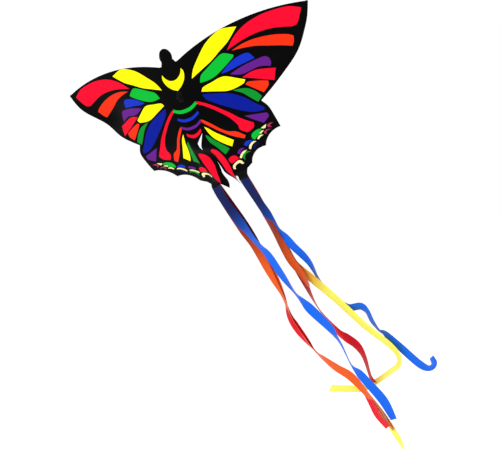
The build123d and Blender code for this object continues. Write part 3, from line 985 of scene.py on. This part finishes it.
class KITE_OT_spine_sleeve(bpy.types.Operator):
    """The cloth channel that holds the spine, in three stretches between the joiners."""
    bl_idname = "kite.spine_sleeve"
    bl_label = "Spine sleeve"

    def execute(self, context):
        back = SPINE_Y - SAIL_Y
        radius = 3.5
        hoop = [(-radius * cos(radians(a)), back + radius * sin(radians(a)))
                for a in (0, 30, 60, 90, 120, 150, 180)]
        section = [(-15, 0.7), (-8, 0.7), (-5, 3.5)] + hoop + [(5, 3.5), (8, 0.7), (15, 0.7)]
        for number, (top, end) in enumerate(((0, 104), (138, 274), (306, 330))):
            steps = max(int((end - top) / 8), 3)
            drops = [top + (end - top) * i / steps for i in range(steps + 1)]
            rows = [[Vector((x, sail_y(0, d) + behind, NECK_Z - d)) for x, behind in section] for d in drops]
            made = strip(f"spine_channel_{number + 1}", rows, finish_material("tape"), 0.35)
            lift = Vector((0, 1, 0))
            seams = []
            for x in (-11.5, 11.5):
                line = [Vector((x, sail_y(x, d) + 1.1, NECK_Z - d)) for d in drops]
                seams.append((line, [lift] * len(line)))
            thread = stitches(f"{made.name}_stitches", seams, finish_material("thread"))
            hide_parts("spine_sleeve")
            for piece in (made, thread):
                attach(piece, "centre")
        return {"FINISHED"}


def node_axis(node):
    """The two ends, in millimetres, of a round node's long axis."""
    points = [Vector(v.co) / MM for v in frame["nodes"][node].data.vertices]
    middle = sum(points, Vector()) / len(points)
    farthest = max(points, key=lambda p: (p - middle).length)
    axis = (farthest - middle).normalized()
    for _ in range(20):
        axis = sum((((p - middle).dot(axis)) * (p - middle) for p in points), Vector()).normalized()
    spans = [(p - middle).dot(axis) for p in points]
    return middle + axis * min(spans), middle + axis * max(spans)


class KITE_OT_pockets(bpy.types.Operator):
    """Sewn cups that hold the rods' capped ends, each on its patch."""
    bl_idname = "kite.pockets"
    bl_label = "Pockets"

    def execute(self, context):
        self.add_pocket("head_pocket", "centre", Vector((0, 0, 1)), (0, -48), (26, 30), None)
        self.add_pocket("abdomen_pocket", "centre", Vector((0, 0, -1)), (0, 344), (24, 30), None)
        for side, sign in SIDES.items():
            outward = Vector((sign, 0, 0))
            self.add_pocket(f"{side}_wing_tip_pocket", f"{side}_wing", outward, (668, -27), (26, 18), side)
            self.add_pocket(f"{side}_hindwing_pocket", f"{side}_wing", outward, (344, 424), (26, 22), side)
        return {"FINISHED"}

    def add_pocket(self, node, body, outward, patch_at, patch_size, side):
        start, end = node_axis(node)
        if (end - start).dot(outward) < 0:
            start, end = end, start
        axis = (end - start).normalized()
        length = (end - start).length
        profile = [(4.1, 0), (4.5, 0.8), (4.3, 2.0), (4.15, length * 0.4), (4.2, length * 0.7),
                   (3.9, length * 0.9), (2.6, length * 0.985), (0.0, length)]
        inside = [(r - 0.7 if r > 1 else 0.0, h - (0.9 if h > 1 else 0)) for r, h in reversed(profile[:-1])]
        bm = bmesh.new()
        ring = [(r, h) for r, h in profile] + [(0.0, length - 1.1)] + inside
        verts = [bm.verts.new((r, 0, h)) for r, h in ring]
        edges = [bm.edges.new((verts[i], verts[(i + 1) % len(verts)])) for i in range(len(verts))]
        bmesh.ops.spin(bm, geom=verts + edges, cent=(0, 0, 0), axis=(0, 0, 1), angle=2 * pi,
                       steps=28, use_merge=True)
        bmesh.ops.remove_doubles(bm, verts=bm.verts, dist=0.02)
        bmesh.ops.recalc_face_normals(bm, faces=bm.faces)
        turn = Vector((0, 0, 1)).rotation_difference(axis).to_matrix().to_4x4()
        bmesh.ops.transform(bm, matrix=Matrix.Translation(start) @ turn, verts=bm.verts)
        cup = object_from(bm, node.replace("_pocket", "_cup"), [self.cup_material()])
        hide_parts(node)
        patch, thread = self.add_patch(node, side, patch_at, patch_size)
        for piece in (cup, patch, thread):
            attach(piece, body)

    def cup_material(self):
        return bpy.data.materials.get("cup_cloth") or solid_material(
            "cup_cloth", srgb(14, 14, 15), srgb(40, 40, 42), 0.62, 1800)

    def add_patch(self, node, side, patch_at, size):
        sign = SIDES[side] if side else 1
        half_x, half_y = size[0] / 2, size[1] / 2
        corner = 3.0
        outline = []
        for cx, cy, first in ((1, -1, -90), (1, 1, 0), (-1, 1, 90), (-1, -1, 180)):
            for step in range(5):
                angle = radians(first + 90 * step / 4)
                outline.append((patch_at[0] + cx * (half_x - corner) + corner * cos(angle),
                                patch_at[1] + cy * (half_y - corner) + corner * sin(angle)))

        def behind(x, drop):
            return on_sail(x * sign, drop) + sail_normal(x * sign, drop) * 0.75
        patch = cloth_from_rings(node.replace("_pocket", "_patch"), [outline], behind,
                                 [finish_material("tape")], 6.0, 0.4)
        centre = Vector(patch_at)
        line = [centre + (Vector(p) - centre) * 0.84 for p in outline]
        line.append(line[0])
        normals = [sail_normal(p.x * sign, p.y) for p in line]
        seam = [behind(p.x, p.y) + n * 0.35 for p, n in zip(line, normals)]
        return patch, stitches(f"{patch.name}_stitches", [(seam, normals)], finish_material("thread"))


class KITE_OT_tow_point(bpy.types.Operator):
    """Reinforcing patch and folded webbing tab, with a hole for the eyelet, at the tow point."""
    bl_idname = "kite.tow_point"
    bl_label = "Tow point"

    def execute(self, context):
        half_x, half_z, corner = 14.0, 25.0, 3.5
        outline = []
        for cx, cz, first in ((1, 1, 0), (-1, 1, 90), (-1, -1, 180), (1, -1, 270)):
            for step in range(5):
                angle = radians(first + 90 * step / 4)
                outline.append((cx * (half_x - corner) + corner * cos(angle),
                                cz * (half_z - corner) + corner * sin(angle)))
        patch = cloth_from_rings(
            "tow_reinforcement", [outline],
            lambda x, z: Vector((x, sail_y(x, NECK_Z - z) - 0.9, z)), [finish_material("tape")], 5.0, 0.6)
        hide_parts("tow_patch")
        line = [Vector(p) * 0.86 for p in outline]
        line.append(line[0])
        seam = [Vector((p.x, SAIL_Y - 1.3, p.y)) for p in line]
        thread = stitches("tow_reinforcement_stitches", [(seam, [Vector((0, -1, 0))] * len(seam))],
                          finish_material("thread"))

        root, nose, hole = SAIL_Y - 1.3, 13.0, 4.05
        tongue = [(root, 13), (0, 13)]
        tongue += [(-nose * sin(radians(a)), nose * cos(radians(a))) for a in range(10, 180, 10)]
        tongue += [(0, -13), (root, -13)]
        ring = [(hole * cos(radians(a)), hole * sin(radians(a))) for a in range(0, 360, 12)]
        tab = cloth_from_rings("tow_webbing", [tongue, ring], lambda y, z: Vector((0, y, z)),
                               [finish_material("tape")], 4.0, 1.5, None, holes=(1,))
        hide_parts("tow_tab")
        inset = [Vector((y * 0.82 + 1.5, z * 0.82)) for y, z in tongue]
        seams = []
        for x in (-0.95, 0.95):
            outward = Vector((1 if x > 0 else -1, 0, 0))
            seams.append(([Vector((x, p.x, p.y)) for p in inset], [outward] * len(inset)))
        tab_thread = stitches("tow_webbing_stitches", seams, finish_material("thread"))
        for piece in (patch, thread, tab, tab_thread):
            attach(piece, "centre")
        return {"FINISHED"}


class KITE_OT_tail_tapes(bpy.types.Operator):
    """Folded tapes that join each bunch of ribbons to the sail's foot."""
    bl_idname = "kite.tail_tapes"
    bl_label = "Tail tapes"

    def execute(self, context):
        for side, sign in SIDES.items():
            drops = [580, 584, 588, 592, 595, 598, 601, 604, 606.5, 609, 612, 615, 617.4, 618.6]
            halves = [0.9, 1.0, 1.05, 1.1, 1.1, 1.1, 1.2, 1.7, 3.0, 3.3, 3.35, 3.3, 2.8, 1.6]
            bm = bmesh.new()
            uv = bm.loops.layers.uv.new("Cloth")
            steps = 12
            sheets = {}
            for face_side in (-1, 1):
                grid = []
                for drop, half in zip(drops, halves):
                    row = []
                    for k in range(steps + 1):
                        share = 2 * k / steps - 1
                        x = TAIL_X + share * TAPE_HALF
                        hanging = min(max((drop - TAIL_SEAM) / (TAIL_HINGE - TAIL_SEAM), 0), 1)
                        y = on_sail(x * sign, drop).y * (1 - hanging) + TAIL_Y * hanging
                        edge = sqrt(max(1 - share**6, 0.02))
                        row.append(bm.verts.new((x * sign, y + face_side * half * edge, NECK_Z - drop)))
                    grid.append(row)
                sheets[face_side] = grid
            front, rear = sheets[-1], sheets[1]
            for grid in (front, rear):
                for i in range(len(drops) - 1):
                    for j in range(steps):
                        bm.faces.new([grid[i][j], grid[i + 1][j], grid[i + 1][j + 1], grid[i][j + 1]])
            for i in range(len(drops) - 1):
                for j in (0, steps):
                    bm.faces.new([front[i][j], front[i + 1][j], rear[i + 1][j], rear[i][j]])
            for j in range(steps):
                for i in (0, len(drops) - 1):
                    bm.faces.new([front[i][j], front[i][j + 1], rear[i][j + 1], rear[i][j]])
            for face in bm.faces:
                for loop in face.loops:
                    loop[uv].uv = (loop.vert.co.x * MM, loop.vert.co.z * MM)
            bmesh.ops.recalc_face_normals(bm, faces=bm.faces)
            seams = []
            for row_at in (9, 11):
                for grid, way in ((front, -1), (rear, 1)):
                    line = [v.co + Vector((0, way * 0.2, 0)) for v in grid[row_at][1:-1]]
                    seams.append((line, [Vector((0, way, 0))] * len(line)))
            thread = stitches(f"{side}_tail_tape_stitches", seams, finish_material("thread"))
            made = object_from(bm, f"{side}_tail_tape", [finish_material("tape")])
            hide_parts(f"{side}_tail_tab", f"{side}_tail_header")
            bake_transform(made)
            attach(thread, f"{side}_tail")
        return {"FINISHED"}


# Each ribbon as (x, behind the eyelet, drop, turn). Turn 0 faces front right, and -30 faces front.
RIBBONS = {
    "left_ribbon_blue": [
        (-78, 180, 610, -30), (-62, 168, 670, -38), (-12, 156, 800, -30), (10, 154, 850, -53),
        (27, 154, 900, -62), (51, 154, 950, -64), (75, 154, 1000, -49), (103, 154, 1100, -51),
        (137, 154, 1200, -78), (162, 154, 1250, -58), (188, 154, 1300, -30), (245, 154, 1400, -46),
        (262, 154, 1450, -70), (275, 154, 1500, -80), (287, 154, 1600, -82), (312, 154, 1650, -46),
        (335, 154, 1700, -39), (380, 154, 1800, -32), (398, 154, 1900, -58)],
    "left_ribbon_orange": [
        (-78, 181.4, 610, -30), (-58, 175, 700, -36), (-17, 172, 850, -40), (13, 172, 930, -34),
        (38, 172, 1050, -30), (52, 172, 1120, -40), (63, 172, 1200, -68), (63, 172, 1310, -86),
        (95, 172, 1430, -88), (122, 172, 1500, -84), (150, 172, 1540, -66), (198, 172, 1600, -46),
        (255, 172, 1660, -38), (298, 172, 1750, -60), (338, 172, 1850, -76), (364, 172, 1955, -86)],
    "left_ribbon_red": [
        (-78, 182.8, 610, -30), (-45, 181, 700, -38), (5, 180, 850, -50), (30, 180, 980, -58),
        (58, 180, 1200, -84), (53, 180, 1300, -61), (62, 180, 1350, -46), (78, 180, 1400, -49),
        (98, 180, 1450, -64), (116, 180, 1495, -82), (142, 180, 1540, -70), (193, 180, 1600, -52),
        (249, 180, 1660, -44), (291, 180, 1745, -60), (303, 180, 1800, -58), (312, 180, 1870, -58),
        (342, 180, 1936, -58)],
    "left_ribbon_yellow": [
        (-78, 184.2, 610, -30), (-50, 186, 720, -38), (25, 187, 960, -58), (54, 187, 1200, -84),
        (49, 187, 1300, -68), (58, 187, 1350, -54), (74, 187, 1400, -56), (94, 187, 1450, -68),
        (113, 187, 1500, -84), (138, 187, 1540, -72), (189, 187, 1600, -56), (246, 187, 1660, -48),
        (289, 187, 1750, -62), (330, 187, 1850, -66), (352, 187, 1930, -62), (368, 187, 2000, -62),
        (376, 187, 2056, -80)],
    "right_ribbon_blue": [
        (78, 180, 610, -30), (92, 190, 700, -46), (120, 195, 800, -43), (134, 197, 850, -58),
        (148, 197, 900, -68), (170, 197, 950, -42), (194, 199, 1000, -46), (214, 214, 1050, -49),
        (231, 221, 1100, -62), (243, 221, 1170, -78), (261, 221, 1240, -70), (300, 221, 1300, -64),
        (322, 221, 1332, -50), (350, 221, 1350, -46), (405, 221, 1358, -46), (427, 221, 1388, -66),
        (434, 221, 1440, -70), (452, 221, 1490, -78), (475, 221, 1512, -60), (520, 221, 1584, -48),
        (580, 221, 1680, -46), (612, 221, 1712, -46), (640, 221, 1716, -46), (659, 221, 1700, -52),
        (656, 221, 1672, -60)],
    "right_ribbon_orange": [
        (78, 181.4, 610, -30), (95, 201, 720, -44), (118, 207, 880, -60), (138, 207, 1000, -46),
        (150, 207, 1060, -45), (176, 207, 1130, -55), (190, 207, 1198, -75)],
    "right_ribbon_yellow": [
        (78, 182.8, 610, -30), (97, 207, 740, -45), (125, 213, 900, -66), (135, 213, 960, -44),
        (152, 213, 1060, -47), (176, 213, 1110, -45), (228, 209, 1180, -44), (310, 205, 1300, -50),
        (400, 205, 1450, -54), (479, 208, 1560, -58), (503, 213, 1620, -66), (490, 213, 1665, -70),
        (430, 213, 1692, -70), (330, 213, 1725, -66), (250, 213, 1732, -58), (107, 213, 1697, -56)],
    "right_ribbon_red": [
        (78, 184.2, 610, -30), (90, 213, 740, -46), (112, 228, 900, -66), (125, 229, 980, -50),
        (150, 229, 1090, -52), (166, 228, 1180, -60), (191, 219, 1310, -84), (245, 219, 1440, -60),
        (280, 219, 1485, -39), (316, 219, 1530, -45), (331, 219, 1590, -66), (327, 219, 1680, -76),
        (332, 219, 1727, -58)],
}


class KITE_OT_ribbons(bpy.types.Operator):
    """The eight tail ribbons, each a flat strip that twists as it hangs."""
    bl_idname = "kite.ribbons"
    bl_label = "Tail ribbons"

    def execute(self, context):
        settings = context.scene.kite_ribbons
        a, e = radians(30), radians(4.3)
        self.view = Vector((sin(a) * cos(e), -cos(a) * cos(e), sin(e)))
        for name, route in RIBBONS.items():
            side, _, ink = name.split("_")
            rows, length = self.rows(route, settings)
            made = strip(f"{side}_tail_{ink}", rows, finish_material(f"{ink}_ribbon_cloth"), 0.3)
            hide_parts(name)
            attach(made, f"{side}_tail")
        return {"FINISHED"}

    def rows(self, route, settings):
        """Rows of points across the ribbon at steps along it, and its length."""
        line = curve_points([(x, y, NECK_Z - drop, radians(turn)) for x, y, drop, turn in route], 7.0)
        middles = [p.to_3d() for p in line]
        rows = []
        last_across = Vector((1, 0, 0))
        for i, point in enumerate(line):
            ahead = (middles[min(i + 1, len(middles) - 1)] - middles[max(i - 1, 0)]).normalized()
            across = self.view.cross(ahead).normalized()
            across = across if across.dot(last_across) > 0 else -across
            last_across = across
            facing = ahead.cross(across)
            facing = facing if facing.dot(self.view) < 0 else -facing
            turn = point[3]
            wide = across * cos(turn) + facing * sin(turn)
            bow = ahead.cross(wide).normalized()
            row = []
            for k in range(7):
                share = 2 * k / 6 - 1
                lift = settings.cup * (1 - share * share) * sin(i / 16)
                row.append(middles[i] + wide * share * settings.width / 2 + bow * lift)
            rows.append(row)
        length = path_length(middles)
        return rows, length


class KITE_OT_frame_finish(bpy.types.Operator):
    """Finishes on the rods, caps, clips, joiner arms and eyelet."""
    bl_idname = "kite.frame_finish"
    bl_label = "Frame finishes"

    def execute(self, context):
        finishes = {"fibreglass": "rod", "black_vinyl": "vinyl", "eyelet_metal": "nickel"}
        for row in frame["record"]["subparts"]:
            key = finishes.get(row["material_slot"])
            if key is None:
                continue
            node = frame["nodes"][row["node"]]
            node.data.materials.clear()
            node.data.materials.append(finish_material(key))
        return {"FINISHED"}


# ---------------------------------------------------------------- running

class KITE_PT_panel(bpy.types.Panel):
    """Lists the kite's pieces."""
    bl_label = "Butterfly kite"
    bl_idname = "KITE_PT_panel"
    bl_space_type = "VIEW_3D"
    bl_region_type = "UI"
    bl_category = "Kite"

    def draw(self, context):
        for group in (context.scene.kite_sail, context.scene.kite_ribbons, context.scene.kite_stage):
            box = self.layout.box()
            for name in group.__annotations__:
                box.prop(group, name)
        for operator in OPERATORS:
            self.layout.operator(operator.bl_idname)


GROUPS = {"kite_sail": KITE_PG_sail, "kite_ribbons": KITE_PG_ribbons, "kite_stage": KITE_PG_stage}
OPERATORS = [
    KITE_OT_stage, KITE_OT_sail, KITE_OT_hems, KITE_OT_edge_sleeves, KITE_OT_spine_sleeve, KITE_OT_pockets,
    KITE_OT_tow_point, KITE_OT_tail_tapes, KITE_OT_ribbons, KITE_OT_frame_finish,
]


def register():
    for made in [*GROUPS.values(), *OPERATORS, KITE_PT_panel]:
        bpy.utils.register_class(made)
    for name, group in GROUPS.items():
        setattr(bpy.types.Scene, name, bpy.props.PointerProperty(type=group))


def unregister():
    for name in GROUPS:
        delattr(bpy.types.Scene, name)
    for made in [KITE_PT_panel, *reversed(OPERATORS), *GROUPS.values()]:
        bpy.utils.unregister_class(made)


def main():
    register()
    for operator in OPERATORS:
        group, name = operator.bl_idname.split(".")
        getattr(getattr(bpy.ops, group), name)()


if __name__ == "__main__":
    main()
